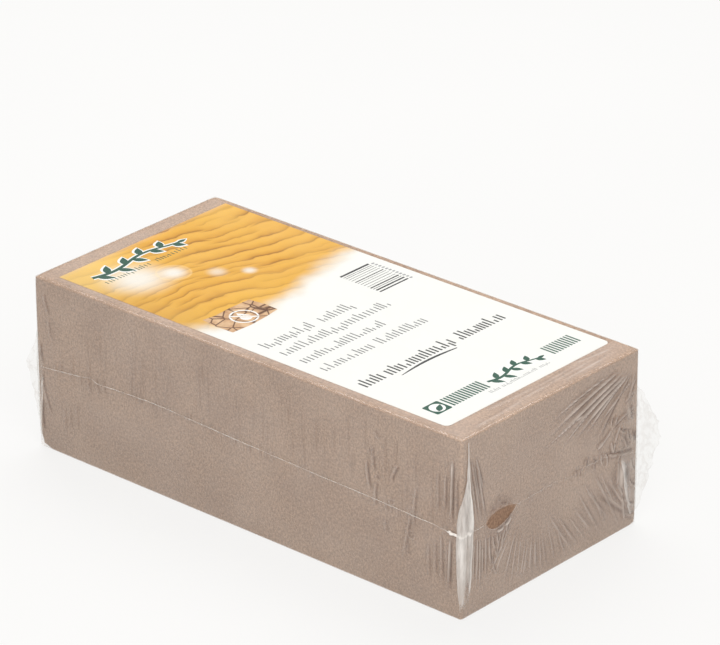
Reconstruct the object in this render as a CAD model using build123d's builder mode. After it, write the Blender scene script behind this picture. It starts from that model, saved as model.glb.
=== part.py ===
from build123d import *
import os

# A brick of dry floral foam as it is sold: the foam block, a paper label lying on its top face, and a
# clear shrink film round both. The film is one web, folded along the back of the brick. Its two leaves
# are welded together half way up the other three sides, where the cut edge leaves a thin bead, and the
# spare film gathers into an ear on each upright edge.
#
# Millimetres. The origin is the centre of the underside. +X runs along the length, to the end with the
# vent tear, +Y runs across to the folded side, and +Z is up.

# Foam block
foam_length = 229.6
foam_width = 108.0
foam_height = 77.4
foam_upright_radius = 1.2
foam_level_radius = 0.6

# Film and label
film_thickness = 0.2
label_length = 208.5
label_width = 99.2
label_thickness = 0.15
label_offset_x = -1.6
label_offset_y = 1.2
label_corner_radius = 2.5

# Weld between the two leaves of film, and its bead
seam_height = 38.6
bead_height = 0.8
bead_depth = 0.6
bead_rounding = 0.25

# Vent tear, a leaf-shaped hole through the film across the weld, in the +X end
tear_start_y = -38.9
tear_end_y = -20.8
tear_height = 36.5
tear_rise = 3.2
tear_drop = 4.2

# Ears. corner says which upright edge, as signs along X and Y. An ear runs from low to high and is
# widest at peak, where it stands out from both faces by stand_out and covers cover_end of the short
# face and cover_side of the long one.
ears = {
    "ear_front_right": dict(
        corner=(1, -1), low=5, peak=37, high=72, stand_out=2.6, cover_end=9, cover_side=4
    ),
    "ear_front_left": dict(
        corner=(-1, -1), low=6, peak=36, high=53, stand_out=4.2, cover_end=8, cover_side=4
    ),
    "ear_back_right": dict(
        corner=(1, 1), low=6, peak=37, high=61, stand_out=9.0, cover_end=9, cover_side=6
    ),
    "ear_back_left": dict(
        corner=(-1, 1), low=8, peak=37, high=59, stand_out=5.5, cover_end=8, cover_side=5
    ),
}
ear_point_stand_out = 0.6
ear_point_cover = 3.0

# Sizes that follow from the ones above
wrap_length = foam_length + 2 * film_thickness
wrap_width = foam_width + 2 * film_thickness
inside_height = foam_height + label_thickness
wrap_height = inside_height + 2 * film_thickness
foam_top = film_thickness + foam_height
end_face = wrap_length / 2
side_face = wrap_width / 2


def rounded_block(length, width, height, floor, upright_radius, level_radius):
    """A block centred on the Z axis that stands at the height floor, with all its edges rounded."""
    with BuildPart() as block:
        with BuildSketch(Plane.XY.offset(floor)):
            RectangleRounded(length, width, upright_radius)
        extrude(amount=height)
        fillet(block.faces().filter_by(Axis.Z).edges(), level_radius)
    return block.part


def ear_outline(height, corner, stand_out, cover_end, cover_side):
    """The plan of an ear at one height: a kite that reaches into the wrap, which is cut away later."""
    along, across = corner
    edge_x = along * end_face
    edge_y = across * side_face
    with BuildSketch(Plane.XY.offset(height)) as outline:
        with BuildLine():
            Polyline(
                (edge_x, edge_y - across * cover_end),
                (edge_x + along * stand_out, edge_y + across * stand_out),
                (edge_x - along * cover_side, edge_y),
                (edge_x - along * cover_side, edge_y - across * cover_end),
                close=True,
            )
        make_face()
    return outline.sketch


# Tools for shaping the film: the envelope of the wrap, the room inside it, and the tear
wrap_outside = rounded_block(
    wrap_length,
    wrap_width,
    wrap_height,
    floor=0,
    upright_radius=foam_upright_radius + film_thickness,
    level_radius=foam_level_radius + film_thickness,
)
wrap_inside = rounded_block(
    foam_length,
    foam_width,
    inside_height,
    floor=film_thickness,
    upright_radius=foam_upright_radius,
    level_radius=foam_level_radius,
)
tear_start = (tear_start_y, tear_height)
tear_end = (tear_end_y, tear_height)
tear_middle_y = (tear_start_y + tear_end_y) / 2
with BuildPart() as tear:
    with BuildSketch(Plane.YZ.offset(end_face - 2 * film_thickness)):
        with BuildLine():
            ThreePointArc(tear_start, (tear_middle_y, tear_height + tear_rise), tear_end)
            ThreePointArc(tear_end, (tear_middle_y, tear_height - tear_drop), tear_start)
        make_face()
    extrude(amount=4 * film_thickness)
seam_plane = Plane.XY.offset(seam_height)

# Foam block, one sawn piece with slightly worn edges
with BuildPart() as foam_brick:
    with BuildSketch(Plane.XY.offset(film_thickness)):
        RectangleRounded(foam_length, foam_width, foam_upright_radius)
    extrude(amount=foam_height)
    fillet(foam_brick.faces().filter_by(Axis.Z).edges(), foam_level_radius)

# Paper label, loose on the foam's top face, with the two corners of its +X end rounded
with BuildPart() as paper_label:
    with BuildSketch(Plane.XY.offset(foam_top)) as label_outline:
        with Locations((label_offset_x, label_offset_y)):
            Rectangle(label_length, label_width)
        fillet(label_outline.vertices().group_by(Axis.X)[-1], label_corner_radius)
    extrude(amount=label_thickness)

# Upper leaf of the film, over the top and down to the weld
with BuildPart() as film_upper:
    add(wrap_outside)
    add(wrap_inside, mode=Mode.SUBTRACT)
    split(bisect_by=seam_plane, keep=Keep.TOP)
    add(tear.part, mode=Mode.SUBTRACT)

# Lower leaf of the film, from the weld down and under the foam
with BuildPart() as film_lower:
    add(wrap_outside)
    add(wrap_inside, mode=Mode.SUBTRACT)
    split(bisect_by=seam_plane, keep=Keep.BOTTOM)
    add(tear.part, mode=Mode.SUBTRACT)

# Weld bead along the front and both ends. It stops at the ears, and on each side of the tear.
left_x = -end_face
right_x = end_face
front_y = -side_face
bead_runs = [
    (
        (left_x + ears["ear_front_left"]["cover_side"], front_y),
        (right_x - ears["ear_front_right"]["cover_side"], front_y),
        (0, -1, 0),
    ),
    (
        (left_x, side_face - ears["ear_back_left"]["cover_end"]),
        (left_x, front_y + ears["ear_front_left"]["cover_end"]),
        (-1, 0, 0),
    ),
    (
        (right_x, front_y + ears["ear_front_right"]["cover_end"]),
        (right_x, tear_start_y),
        (1, 0, 0),
    ),
    (
        (right_x, tear_end_y),
        (right_x, side_face - ears["ear_back_right"]["cover_end"]),
        (1, 0, 0),
    ),
]
with BuildPart() as seal_bead:
    for start, end, outward in bead_runs:
        run = Vector(*end) - Vector(*start)
        with BuildSketch(Plane((*start, seam_height), x_dir=outward, z_dir=run.normalized())):
            with Locations((bead_depth / 2, 0)):
                RectangleRounded(bead_depth, bead_height, bead_rounding)
        extrude(amount=run.length)

pieces = {
    "foam_brick": foam_brick,
    "paper_label": paper_label,
    "film_upper": film_upper,
    "film_lower": film_lower,
    "seal_bead": seal_bead,
}

# Ears, each lofted from a small outline through a wide one to a small one, hugging the upright edge
for name, size in ears.items():
    corner = size["corner"]
    point = (corner, ear_point_stand_out, ear_point_cover, ear_point_cover)
    widest = (corner, size["stand_out"], size["cover_end"], size["cover_side"])
    outlines = [
        ear_outline(size["low"], *point),
        ear_outline(size["peak"], *widest),
        ear_outline(size["high"], *point),
    ]
    with BuildPart() as ear:
        loft(outlines, ruled=True)
        add(wrap_outside, mode=Mode.SUBTRACT)
    pieces[name] = ear

os.makedirs("parts", exist_ok=True)
for name, piece in pieces.items():
    piece.part.label = name
    export_step(piece.part, f"parts/{name}.step")
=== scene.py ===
import math

import bpy
import numpy as np
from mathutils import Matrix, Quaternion, Vector, noise
from mathutils.geometry import delaunay_2d_cdt


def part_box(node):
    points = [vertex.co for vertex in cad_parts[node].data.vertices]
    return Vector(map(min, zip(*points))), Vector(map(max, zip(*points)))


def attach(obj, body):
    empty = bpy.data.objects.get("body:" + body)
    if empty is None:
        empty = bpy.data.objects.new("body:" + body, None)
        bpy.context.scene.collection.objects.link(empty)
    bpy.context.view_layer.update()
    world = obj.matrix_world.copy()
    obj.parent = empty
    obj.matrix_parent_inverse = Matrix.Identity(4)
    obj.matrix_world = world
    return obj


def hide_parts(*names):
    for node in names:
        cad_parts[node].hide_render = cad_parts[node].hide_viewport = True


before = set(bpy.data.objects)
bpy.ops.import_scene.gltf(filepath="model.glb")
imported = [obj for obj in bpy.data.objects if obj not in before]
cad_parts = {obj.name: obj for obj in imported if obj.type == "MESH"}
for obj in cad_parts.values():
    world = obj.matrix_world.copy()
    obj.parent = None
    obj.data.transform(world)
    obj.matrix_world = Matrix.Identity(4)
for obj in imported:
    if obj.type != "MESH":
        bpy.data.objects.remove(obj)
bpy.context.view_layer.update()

# Shapes are worked out in millimetres and scaled by MM as they become meshes.
MM = 0.001
rng = np.random.default_rng(7)


def node_box(node):
    """Lowest and highest corner of a CAD node, in millimetres."""
    low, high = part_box(node)
    return np.array(low) / MM, np.array(high) / MM


# The block's rounding: radius of its upright edges, and the height of the rounding on its level edges
UPRIGHT_RADIUS = 1.2
LEVEL_RADIUS = 0.6
# Half the height of the CAD's weld bead
HALF_BEAD = 0.4

foam_low, foam_high = node_box("foam_brick")
label_low, label_high = node_box("paper_label")
seam_height = node_box("seal_bead")[0][2] + HALF_BEAD


# ------------ helpers: meshes

def make_piece(name, points, faces, materials, nodes=(), face_materials=None, smooth=True):
    """A mesh object from points in millimetres, riding on the body and standing for its CAD nodes."""
    mesh = bpy.data.meshes.new(name)
    mesh.from_pydata([tuple(p) for p in np.asarray(points, float) * MM], [], faces)
    for material in materials:
        mesh.materials.append(material)
    if face_materials is not None:
        mesh.polygons.foreach_set("material_index", face_materials)
    mesh.polygons.foreach_set("use_smooth", [smooth] * len(mesh.polygons))
    mesh.validate()
    mesh.update()
    piece = bpy.data.objects.new(name, mesh)
    bpy.context.scene.collection.objects.link(piece)
    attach(piece, "root")
    if nodes:
        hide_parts(*nodes)
    return piece


def grid_faces(rows, columns, first=0, closed=False):
    """Quads of a grid whose points are listed row by row. A closed one joins its last column to its first."""
    index = first + np.arange(rows * columns).reshape(rows, columns)
    if closed:
        index = np.concatenate([index, index[:, :1]], axis=1)
    a, b, c, d = index[:-1, :-1], index[:-1, 1:], index[1:, 1:], index[1:, :-1]
    return np.stack([a, b, c, d], axis=-1).reshape(-1, 4).tolist()


def smooth_step(x):
    x = np.clip(x, 0, 1)
    return x * x * (3 - 2 * x)


def bell(x, width):
    """A bump in x about 0, from 1 down to nothing."""
    return np.exp(-(x / width) ** 2)


def value_noise(u, v, seed):
    """Smooth noise from 0 to 1 over a plane, one cell to a unit."""
    u, v = np.broadcast_arrays(np.asarray(u, float), np.asarray(v, float))
    cell_u, cell_v = np.floor(u).astype(np.int64), np.floor(v).astype(np.int64)
    along, across = smooth_step(u - cell_u), smooth_step(v - cell_v)

    def corner(i, j):
        h = (cell_u + i) * 374761393 + (cell_v + j) * 668265263 + seed * 974634777
        h = (h ^ (h >> 13)) * 1274126177 & 0xFFFFFFFF
        return (h ^ (h >> 16)) % 65536 / 65535

    low = corner(0, 0) * (1 - along) + corner(1, 0) * along
    high = corner(0, 1) * (1 - along) + corner(1, 1) * along
    return low * (1 - across) + high * across


# ------------ helpers: materials

def linear(red, green, blue):
    """An sRGB colour from 0 to 255 as the linear numbers that shaders take."""
    def one(c):
        c = c / 255
        return c / 12.92 if c <= 0.04045 else ((c + 0.055) / 1.055) ** 2.4
    return (one(red), one(green), one(blue), 1)


class Shader:
    """A material's node tree, built a node at a time. A node's inputs are given by name or number, and
    one that is another node's output is linked."""

    def __init__(self, name):
        self.material = bpy.data.materials.new(name)
        self.material.use_nodes = True
        self.tree = self.material.node_tree
        self.tree.nodes.clear()
        self.output = self.tree.nodes.new("ShaderNodeOutputMaterial")

    def add(self, kind, inputs=None, **settings):
        node = self.tree.nodes.new("ShaderNode" + kind)
        for name, value in settings.items():
            setattr(node, name, value)
        for name, value in (inputs or {}).items():
            socket = node.inputs[name]
            if isinstance(value, bpy.types.NodeSocket):
                self.tree.links.new(value, socket)
            else:
                socket.default_value = value
        return node

    def position(self):
        return self.add("TexCoord").outputs["Object"]

    def attribute(self, name):
        return self.add("Attribute", attribute_name=name).outputs["Fac"]

    def noise(self, vector, scale, detail=2, roughness=0.5):
        inputs = {"Vector": vector, "Scale": scale, "Detail": detail, "Roughness": roughness}
        return self.add("TexNoise", inputs).outputs["Fac"]

    def math(self, operation, a, b=0, clamp=False):
        node = self.add("Math", {0: a, 1: b}, operation=operation, use_clamp=clamp)
        return node.outputs[0]

    def stretch(self, vector, scale):
        """The coordinates scaled by a different number along each axis."""
        return self.add("VectorMath", {0: vector, 1: scale}, operation="MULTIPLY").outputs[0]

    def distance(self, vector, place):
        return self.add("VectorMath", {0: vector, 1: place}, operation="DISTANCE").outputs["Value"]

    def span(self, value, low, high, to_low=0, to_high=1):
        """The value mapped from low..high to to_low..to_high, smoothly and clamped."""
        inputs = {"Value": value, "From Min": low, "From Max": high, "To Min": to_low, "To Max": to_high}
        return self.add("MapRange", inputs, interpolation_type="SMOOTHSTEP").outputs["Result"]

    def ramp(self, value, stops):
        """A colour ramp through (place, colour) stops."""
        node = self.add("ValToRGB", {"Fac": value})
        elements = node.color_ramp.elements
        while len(elements) < len(stops):
            elements.new(0.5)
        for element, (place, colour) in zip(elements, stops):
            element.position = place
            element.color = colour
        return node.outputs["Color"]

    def mix(self, factor, a, b, blend="MIX"):
        """Two colours mixed. A colour mix node's factor is its input 0, and its colours are 6 and 7."""
        node = self.add("Mix", {0: factor, 6: a, 7: b}, data_type="RGBA", blend_type=blend)
        return node.outputs[2]

    def dim(self, colour, share):
        """The colour made darker or lighter by a number."""
        grey = self.add("CombineColor", {0: share, 1: share, 2: share}).outputs[0]
        return self.mix(1, colour, grey, blend="MULTIPLY")

    def bump(self, height, distance, strength):
        inputs = {"Height": height, "Distance": distance, "Strength": strength}
        return self.add("Bump", inputs).outputs["Normal"]

    def finish(self, shader):
        self.tree.links.new(shader, self.output.inputs["Surface"])
        return self.material

    def surface(self, colour, roughness, specular, **others):
        """Finishes the material as an ordinary opaque surface."""
        inputs = {"Base Color": colour, "Roughness": roughness, "Specular IOR Level": specular}
        for name, value in others.items():
            inputs[name.replace("_", " ").title()] = value
        return self.finish(self.add("BsdfPrincipled", inputs).outputs[0])


# ------------ materials

# The middle of the torn hole, in metres
TEAR_MIDDLE = (0.1148, -0.031, 0.0362)
PAPER_WHITE = (233, 233, 229)
# How little the paper and its inks shine
PRINT_SHINE = 0.1
# Light spots in the label's picture: place in metres, bright core, reach and strength
FLARES = [
    ((-0.0735, -0.0146, 0.078), 0.001, 0.0085, 0.85),
    ((-0.0607, -0.0023, 0.078), 0.0005, 0.006, 0.55),
    ((-0.0517, 0.0075, 0.078), 0.0005, 0.0045, 0.75),
    ((-0.0804, -0.0287, 0.078), 0.002, 0.02, 0.85),
]
# The picture's bleached corner, and the radius of the faint ring round the first light spot
BLEACHED_CORNER = (-0.106, -0.046, 0.078)
FLARE_RING = 0.0072
# Inks: the colour, and the lighter one where the paper took less of it
INK_COLOURS = {
    "halo": ((236, 236, 233), (242, 242, 239)),
    "green": ((34, 78, 64), (58, 100, 84)),
    "grey": ((84, 84, 88), (112, 112, 116)),
    "pale_grey": ((150, 150, 152), (176, 176, 178)),
    "black": ((48, 48, 50), (76, 76, 78)),
}
# How strongly the floor and the room glow, and the colour of both
FLOOR_GLOW = 0.79
ROOM_GLOW = 0.36
ROOM_LIGHT = (1, 0.995, 0.985, 1)


def foam_material():
    """Rigid open-cell foam: a dusty brown with fine pores, a little mottled."""
    s = Shader("foam")
    at = s.position()
    mottle = s.noise(at, 45, detail=3)
    grain = s.noise(s.stretch(at, (1, 1, 0.78)), 1150, detail=4, roughness=0.75)
    pores = s.add("TexVoronoi", {"Vector": at, "Scale": 2100}, feature="F1").outputs["Distance"]
    colour = s.ramp(mottle, [(0.35, linear(166, 139, 119)), (0.65, linear(175, 148, 127))])
    grain_shade = s.ramp(grain, [(0.36, (0.66, 0.65, 0.64, 1)), (0.64, (1.29, 1.29, 1.29, 1))])
    colour = s.mix(1, colour, grain_shade, blend="MULTIPLY")
    pore_shade = s.ramp(pores, [(0.1, (0.7, 0.68, 0.66, 1)), (0.45, (1.05, 1.05, 1.05, 1))])
    colour = s.mix(0.7, colour, pore_shade, blend="MULTIPLY")
    # Painted shade: it is a little darker towards its foot, where less light reaches.
    colour = s.dim(colour, s.span(s.add("SeparateXYZ", {0: at}).outputs["Z"], 0, 0.05, 0.94, 1.02))
    # The foam is darker and redder round the middle of the torn hole.
    tear_darkening = s.span(s.distance(at, TEAR_MIDDLE), 0.006, 0.011, 0.75, 0)
    colour = s.mix(tear_darkening, colour, s.mix(1, colour, (0.72, 0.63, 0.57, 1), blend="MULTIPLY"))
    normal = s.bump(s.math("ADD", grain, pores), 0.0001, 0.25)
    return s.surface(colour, roughness=0.95, specular=0.15, normal=normal)


def film_material(name, haze_low, haze_high, haze_scale, milk_colour):
    """Clear glossy film: it lets light through, mirrors more at a slant, and is faintly cloudy."""
    s = Shader(name)
    at = s.position()
    uneven = s.noise(s.stretch(at, haze_scale), 1, detail=3, roughness=0.6)
    haze = s.span(uneven, 0.3, 0.75, haze_low, haze_high)
    crest = s.attribute("cloud")
    haze = s.math("ADD", haze, s.math("MULTIPLY", crest, s.span(uneven, 0.2, 0.8, 0.7, 1.2)), clamp=True)
    normal = s.bump(s.noise(at, 260, detail=2), 0.000025, 0.3)
    # Painted shade: beside a crease less comes through the film, standing in for the crease's shadow where
    # the film is turned away from the light.
    passing = s.ramp(s.attribute("shade"), [(0, (0.982, 0.982, 0.978, 1)), (1, (0.46, 0.38, 0.33, 1))])
    clear = s.add("BsdfTransparent", {"Color": passing}).outputs[0]
    gloss = s.add("BsdfGlossy", {"Color": (1, 1, 1, 1), "Roughness": 0.12, "Normal": normal}).outputs[0]
    # Thin film mirrors alike from both sides, nearly twice as much as one surface of it would.
    slant = s.add("LayerWeight", {"Blend": 0.5, "Normal": normal}).outputs["Facing"]
    shine = s.math("ADD", s.math("MULTIPLY", s.math("POWER", slant, 4), 0.94), 0.06, clamp=True)
    shine = s.math("MULTIPLY", shine, s.math("SUBTRACT", 1, s.attribute("calm")))
    body = s.add("MixShader", {0: shine, 1: clear, 2: gloss}).outputs[0]
    milk = s.add("BsdfDiffuse", {"Color": milk_colour}).outputs[0]
    return s.finish(s.add("MixShader", {0: haze, 1: body, 2: milk}).outputs[0])


def paper_material():
    """Coated white paper with a picture of rippled sand that fades out a third of the way along."""
    s = Shader("label_paper")
    at = s.position()
    axes = s.add("SeparateXYZ", {0: at}).outputs
    along, across = axes["X"], axes["Y"]
    white = linear(*PAPER_WHITE)

    # Ripples: saw-toothed bands across the label, bent by broad and fine noise. Two sets of them, wide
    # and narrow, take turns.
    broad = s.math("MULTIPLY", s.noise(s.stretch(at, (1, 0.7, 1)), 18, detail=1), 0.026)
    fine = s.math("MULTIPLY", s.noise(s.stretch(at, (1, 1.1, 1)), 85, detail=2), 0.0065)
    lean = s.math("MULTIPLY", across, -0.2)
    bent = s.math("ADD", s.math("ADD", along, lean), s.math("ADD", broad, fine))
    slopes = []
    for spacing, depth in ((0.0092, 1), (0.0058, 0.7)):
        ripple = s.math("FRACT", s.math("MULTIPLY", bent, 1 / spacing))
        patches = s.noise(s.stretch(at, (1, 0.6, 1)), 60 * depth)
        strength = s.span(patches, 0.3, 0.6, 0.4, depth)
        sand = s.ramp(ripple, [
            (0, linear(214, 156, 62)),
            (0.12, linear(232, 178, 76)),
            (0.45, linear(228, 172, 66)),
            (0.78, linear(210, 150, 46)),
            (0.93, linear(170, 114, 30)),
            (1, linear(128, 84, 22)),
        ])
        slopes.append(s.mix(strength, linear(222, 166, 62), sand))
    turn = s.span(s.noise(at, 26, detail=1), 0.42, 0.58)
    sand = s.mix(turn, slopes[0], slopes[1])
    light = s.span(s.noise(at, 22, detail=2), 0.35, 0.7, 0, 0.4)
    sand = s.mix(light, sand, linear(236, 190, 84))
    # The corner by the ornament is bleached. The sand is darker along the front, and paler along the back.
    bleach = s.span(s.distance(at, BLEACHED_CORNER), 0.01, 0.046, 0.6, 0)
    sand = s.mix(bleach, sand, linear(247, 214, 134))
    sand = s.dim(sand, s.span(across, -0.052, -0.024, 0.86, 0.95))
    sand = s.mix(s.span(across, 0.02, 0.05, 0, 0.12), sand, linear(246, 210, 134))
    for place, core, reach, strength in FLARES:
        sand = s.mix(s.span(s.distance(at, place), core, reach, strength, 0), sand, white)
    off_ring = s.math("ABSOLUTE", s.math("SUBTRACT", s.distance(at, FLARES[0][0]), FLARE_RING))
    sand = s.mix(s.span(off_ring, 0, 0.0007, 0.28, 0), sand, linear(252, 226, 168))

    # The picture ends in a ragged edge, past which the paper is bare.
    ragged = s.math("MULTIPLY", s.noise(at, 40, detail=3), 0.018)
    aside = s.math("MULTIPLY", s.math("ABSOLUTE", s.math("ADD", across, 0.013)), 0.25)
    bare = s.span(s.math("ADD", s.math("ADD", along, aside), ragged), -0.018, -0.004)
    fibre = s.noise(s.stretch(at, (1, 2.5, 1)), 900, detail=3)
    normal = s.bump(fibre, 0.00002, 0.3)
    return s.surface(s.mix(bare, sand, white), roughness=0.5, specular=PRINT_SHINE, normal=normal)


def ink_material(name, colour, lighter):
    """Printing ink, a little uneven where the paper takes it."""
    s = Shader(name)
    uneven = s.noise(s.position(), 1400, detail=3)
    shade = s.ramp(uneven, [(0.35, linear(*colour)), (0.75, linear(*lighter))])
    return s.surface(shade, roughness=0.45, specular=PRINT_SHINE)


def mud_material():
    """The badge's picture of dried mud: brown plates with dark cracks between them."""
    s = Shader("label_mud")
    at = s.position()
    flat = s.stretch(at, (1, 1, 0))
    cracks = s.add("TexVoronoi", {"Vector": flat, "Scale": 165}, feature="DISTANCE_TO_EDGE")
    plates = s.noise(at, 260, detail=3)
    brown = s.ramp(plates, [(0.3, linear(186, 142, 104)), (0.7, linear(224, 190, 150))])
    crack = s.span(cracks.outputs["Distance"], 0.01, 0.08)
    colour = s.mix(crack, linear(96, 62, 42), brown)
    return s.surface(colour, roughness=0.45, specular=PRINT_SHINE)


def floor_material():
    """A pale table that glows a little, as a lit sweep does, so that shadows on it stay faint."""
    s = Shader("studio_floor")
    shade = s.noise(s.position(), 3)
    colour = s.ramp(shade, [(0.3, (0.125, 0.124, 0.122, 1)), (0.7, (0.135, 0.134, 0.132, 1))])
    glow = {"emission_color": ROOM_LIGHT, "emission_strength": FLOOR_GLOW}
    return s.surface(colour, roughness=0.8, specular=0.1, **glow)


foam = foam_material()
inks = {"paper": paper_material()}
# Each film: its least and most haze, how fine the haze is along each axis, and how it looks where milky
film = film_material("film", 0, 0.02, (60, 60, 60), (0.88, 0.77, 0.69, 1))
film_edge = film_material("film_edge", 0, 0.05, (700, 700, 120), (0.86, 0.81, 0.76, 1))
film_weld = film_material("film_weld", 0.12, 0.5, (260, 260, 260), (0.92, 0.86, 0.8, 1))
for ink, (colour, lighter) in INK_COLOURS.items():
    inks[ink] = ink_material("label_" + ink, colour, lighter)
inks["mud"] = mud_material()


# ------------ foam block

def lattice_axis(low, high, border, fine, coarse):
    """Places along an axis: fine steps within border of both ends, coarse steps between."""
    edge = np.arange(0, border, fine)
    middle = np.linspace(low + border, high - border, int((high - low - 2 * border) / coarse) + 1)
    return np.concatenate([low + edge, middle, (high - edge)[::-1]])


def box_surface(axes):
    """Points and outward quads of the surface of a lattice with those places along X, Y and Z."""
    shape = tuple(len(axis) for axis in axes)
    index = np.arange(np.prod(shape)).reshape(shape)
    surface = np.zeros(shape, bool)
    quads = []
    for axis in range(3):
        for end in (0, -1):
            face = np.take(index, end, axis=axis)
            surface[tuple(end if k == axis else slice(None) for k in range(3))] = True
            a, b, c, d = face[:-1, :-1], face[1:, :-1], face[1:, 1:], face[:-1, 1:]
            outward = (end == -1) == (axis != 1)
            corners = [a, b, c, d] if outward else [a, d, c, b]
            quads.append(np.stack(corners, axis=-1).reshape(-1, 4))
    new_index = np.full(index.size, -1)
    kept = np.flatnonzero(surface)
    new_index[kept] = np.arange(len(kept))
    grid = np.stack(np.meshgrid(*axes, indexing="ij"), axis=-1).reshape(-1, 3)
    return grid[kept], new_index[np.concatenate(quads)].tolist()


# Knocks in the block: centre as signs and distances in from the corner, reach and depth
FOAM_KNOCKS = [
    ((-1, -1, -1), (0, 0, 0), 8, 1.4),
    ((-1, -1, 1), (0, 0, 0), 5, 0.3),
    ((-1, 1, 1), (0, 0, 0), 5, 0.3),
    ((1, 1, -1), (0, 0, 0), 5, 0.4),
]


# How far apart the block's points are over its flat faces, how uneven those are, and how far its edges are
# worn down by long waves and by small nicks
FOAM_STEP = 1.15
FACE_WEAR = 0.03
EDGE_WEAR = 0.25
EDGE_NICK = 0.9


def build_foam():
    """The sawn block, with worn edges, small nicks along them and a few knocked corners."""
    radii = np.array([UPRIGHT_RADIUS, UPRIGHT_RADIUS, LEVEL_RADIUS])
    axes = [lattice_axis(foam_low[k], foam_high[k], radii[k], radii[k] / 5, FOAM_STEP) for k in range(3)]
    points, quads = box_surface(axes)
    core = np.clip(points, foam_low + radii, foam_high - radii)
    out = (points - core) / radii
    out /= np.linalg.norm(out, axis=1, keepdims=True)
    points = core + out * radii

    edge = 1 - np.abs(out).max(axis=1)
    drop = np.zeros(len(points))
    for i, p in enumerate(points):
        wave = 0.5 + 0.5 * noise.noise(Vector(p) / 21)
        nick = max(0, noise.noise(Vector(p) / 3.3 + Vector((40, 0, 0))))
        drop[i] = FACE_WEAR * wave + edge[i] * (EDGE_WEAR * wave + EDGE_NICK * nick)
    points -= out * drop[:, None]

    centre = (foam_low + foam_high) / 2
    for signs, inset, reach, depth in FOAM_KNOCKS:
        corner = centre + np.array(signs) * ((foam_high - foam_low) / 2 - np.array(inset))
        away = np.linalg.norm(points - corner, axis=1)
        push = depth * smooth_step(1 - away / reach)
        points -= np.array(signs) / math.sqrt(3) * push[:, None]
    make_piece("foam_block", points, quads, [foam], ["foam_brick"])


# ------------ label

class Artwork:
    """Flat inked shapes on the label, in millimetres along X and Y. A later shape covers an earlier one.
    Lines of print run along +Y, and their top is towards -X."""

    def __init__(self):
        self.shapes = []

    def polygon(self, points, ink):
        self.shapes.append((points, ink))

    def block(self, x0, y0, x1, y1, ink, rounding=0):
        """A rectangle between two corners, its corners rounded."""
        if rounding <= 0:
            self.polygon([(x0, y0), (x1, y0), (x1, y1), (x0, y1)], ink)
            return
        points = []
        for cx, cy, start in ((x1, y1, 0), (x0, y1, 90), (x0, y0, 180), (x1, y0, 270)):
            mx = cx - math.copysign(rounding, cx - (x0 + x1) / 2)
            my = cy - math.copysign(rounding, cy - (y0 + y1) / 2)
            for turn in (0, 45, 90):
                angle = math.radians(start + turn)
                points.append((mx + rounding * math.cos(angle), my + rounding * math.sin(angle)))
        self.polygon(points, ink)

    def disc(self, x, y, radius, ink, sides=28):
        angles = [2 * math.pi * k / sides for k in range(sides)]
        self.polygon([(x + radius * math.cos(a), y + radius * math.sin(a)) for a in angles], ink)

    def leaf(self, x, y, heading, length, width, ink, steps=7):
        """A pointed leaf from its base at x, y. Its heading is in degrees from +Y, turning towards -X."""
        along = np.array([-math.sin(math.radians(heading)), math.cos(math.radians(heading))])
        side = np.array([along[1], -along[0]])
        ts = np.linspace(0, 1, steps + 1)
        swell = width / 2 * np.sin(np.pi * ts ** 0.8)
        one = [(x, y) + along * length * t + side * w for t, w in zip(ts, swell)]
        other = [(x, y) + along * length * t - side * w for t, w in zip(ts, swell)]
        self.polygon([tuple(p) for p in one + other[-2:0:-1]], ink)

    def ribbon(self, line, half_widths, ink):
        """A stroke along a line of points, with its half width at each."""
        line = np.asarray(line, float)
        way = np.gradient(line, axis=0)
        way /= np.linalg.norm(way, axis=1, keepdims=True)
        side = np.stack([way[:, 1], -way[:, 0]], axis=1) * np.asarray(half_widths)[:, None]
        points = np.concatenate([line + side, (line - side)[::-1]])
        self.polygon([tuple(p) for p in points], ink)

    def plain_print(self, top, base, start, words, pitch, ink, stroke):
        """A line of dummy print: thin posts of three heights, spaced and grouped like letters of words."""
        full = base - top
        x_top = top + full * 0.28
        below = base + full * 0.22
        tall, normal, deep = 0.22, 0.8, 0.94
        y = start
        for letters in words:
            stop = y + letters * pitch
            while y < stop - stroke:
                kind = rng.random()
                head = top if kind < tall else (x_top if kind < normal else (x_top + base) / 2)
                foot = below if kind > deep else base
                self.block(head, y, foot, y + stroke, ink)
                y += stroke + pitch * rng.uniform(0.2, 0.36)
            y = stop + pitch * 0.75


def sprig(art, x, start, end, ink, halo, size):
    """A leafy twig along Y, with a pale halo behind it."""
    leaves = 9
    leaf_angle = 52

    def stem(t):
        return x + 0.55 * size * 0.35 * math.sin(t * 7.5)

    for layer, grow in ((halo, 0.75), (ink, 0)):
        ys = np.linspace(start, end, 25)
        line = [(stem((y - start) / (end - start)), y) for y in ys]
        art.ribbon(line, np.linspace(0.75, 0.4, len(ys)) * size / 9.6 * 1.4 + grow, layer)
        for k in range(leaves):
            t = (k + 0.35) / leaves
            y = start + (end - start) * t
            heading = leaf_angle if k % 2 else -leaf_angle
            length = size * (0.86 - 0.25 * t)
            art.leaf(stem(t), y - grow * 0.5, heading, length + 1.6 * grow, size * 0.36 + 2 * grow, layer)
        art.leaf(stem(1), end - 1 - grow, 0, size * 0.55 + 2 * grow, size * 0.22 + 2 * grow, layer)


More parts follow.
